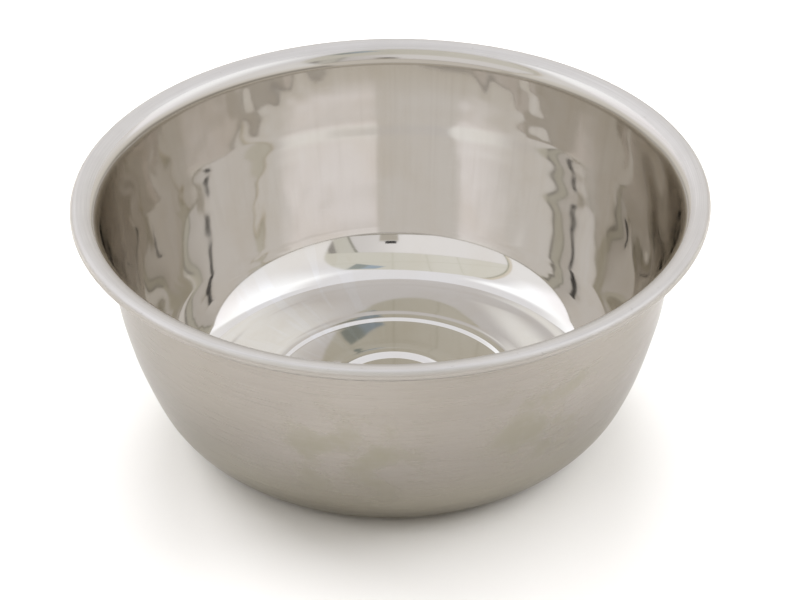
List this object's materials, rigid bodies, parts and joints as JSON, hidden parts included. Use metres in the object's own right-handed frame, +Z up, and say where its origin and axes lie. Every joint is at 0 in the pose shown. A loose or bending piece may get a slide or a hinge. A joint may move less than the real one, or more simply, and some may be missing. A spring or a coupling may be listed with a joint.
{
  "type": "mixing bowl",
  "caption": "Round deep stainless steel mixing bowl with a rolled rim, tapering wall and flat ringed base, for mixing and holding food.",
  "frame": {"origin": "centre of the underside of the base, in the plane the bowl stands on", "axes": "+Z up along the bowl's axis, out of its mouth; X and Y in the base plane, with no preferred direction"},
  "size_m": [0.32, 0.32, 0.127],
  "materials": {
    "rim_steel": "fine satin, brushed around the rim",
    "wall_steel": "near-mirror polish inside, fine circumferential satin outside",
    "base_steel": "near-mirror polish inside, fine circumferential satin outside"
  },
  "bodies": {
    "root": {"rolled_bead": "rim_steel", "flared_lip": "rim_steel", "upper_wall": "wall_steel", "lower_wall": "wall_steel", "base_shoulder": "wall_steel", "base_corner": "base_steel", "base_outer_flat": "base_steel", "base_outer_bead": "base_steel", "base_middle_flat": "base_steel", "base_inner_bead": "base_steel", "base_centre_disc": "base_steel"}
  },
  "joints": []
}
